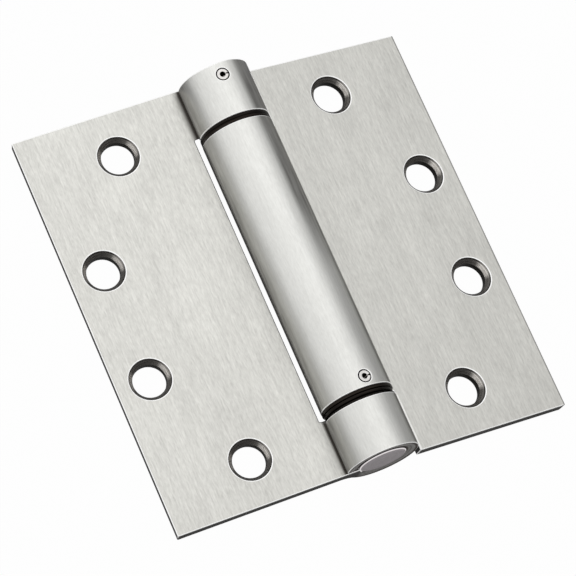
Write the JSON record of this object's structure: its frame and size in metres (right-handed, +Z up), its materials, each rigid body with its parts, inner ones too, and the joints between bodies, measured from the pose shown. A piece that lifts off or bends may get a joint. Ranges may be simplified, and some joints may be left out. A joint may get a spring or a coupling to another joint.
{
  "type": "spring hinge",
  "caption": "Full mortise door hinge with square corners and countersunk leaves, closed by a torsion spring inside its long middle knuckle; it lies open on its back.",
  "frame": {"origin": "on the floor under the middle of the barrel, centre of the open hinge's footprint", "axes": "+X towards the door leaf's outer edge, +Y along the barrel towards the adjuster end, +Z up out of the countersunk faces"},
  "size_m": [0.1136, 0.1142, 0.0198],
  "materials": {
    "satin_steel": "satin, brushed along the barrel",
    "plug_steel": "turned, dull",
    "pin_steel": "bright",
    "dark_washer": "matt",
    "dark_bush": "matt",
    "spring_steel": "oiled"
  },
  "bodies": {
    "frame_half": {"frame_leaf": "satin_steel", "tension_adjuster": "plug_steel", "bottom_pivot": "plug_steel", "tension_lock_pin": "pin_steel", "top_thrust_washer": "dark_washer", "upper_bottom_washer": "dark_washer", "lower_bottom_washer": "dark_washer"},
    "door_half": {"door_leaf": "satin_steel", "spring_anchor": "plug_steel", "anchor_pin": "pin_steel", "upper_bush": "dark_bush", "lower_bush": "dark_bush", "torsion_spring": "spring_steel"}
  },
  "joints": [
    {"name": "door_swing", "type": "hinge", "parent": "frame_half", "child": "door_half", "pos_m": [0, 0, 0.00992], "axis": [0, -1, 0], "range_deg": [-110, 189.7], "stiffness_Nm_per_rad": 1.06, "deforming": ["torsion_spring"]}
  ]
}
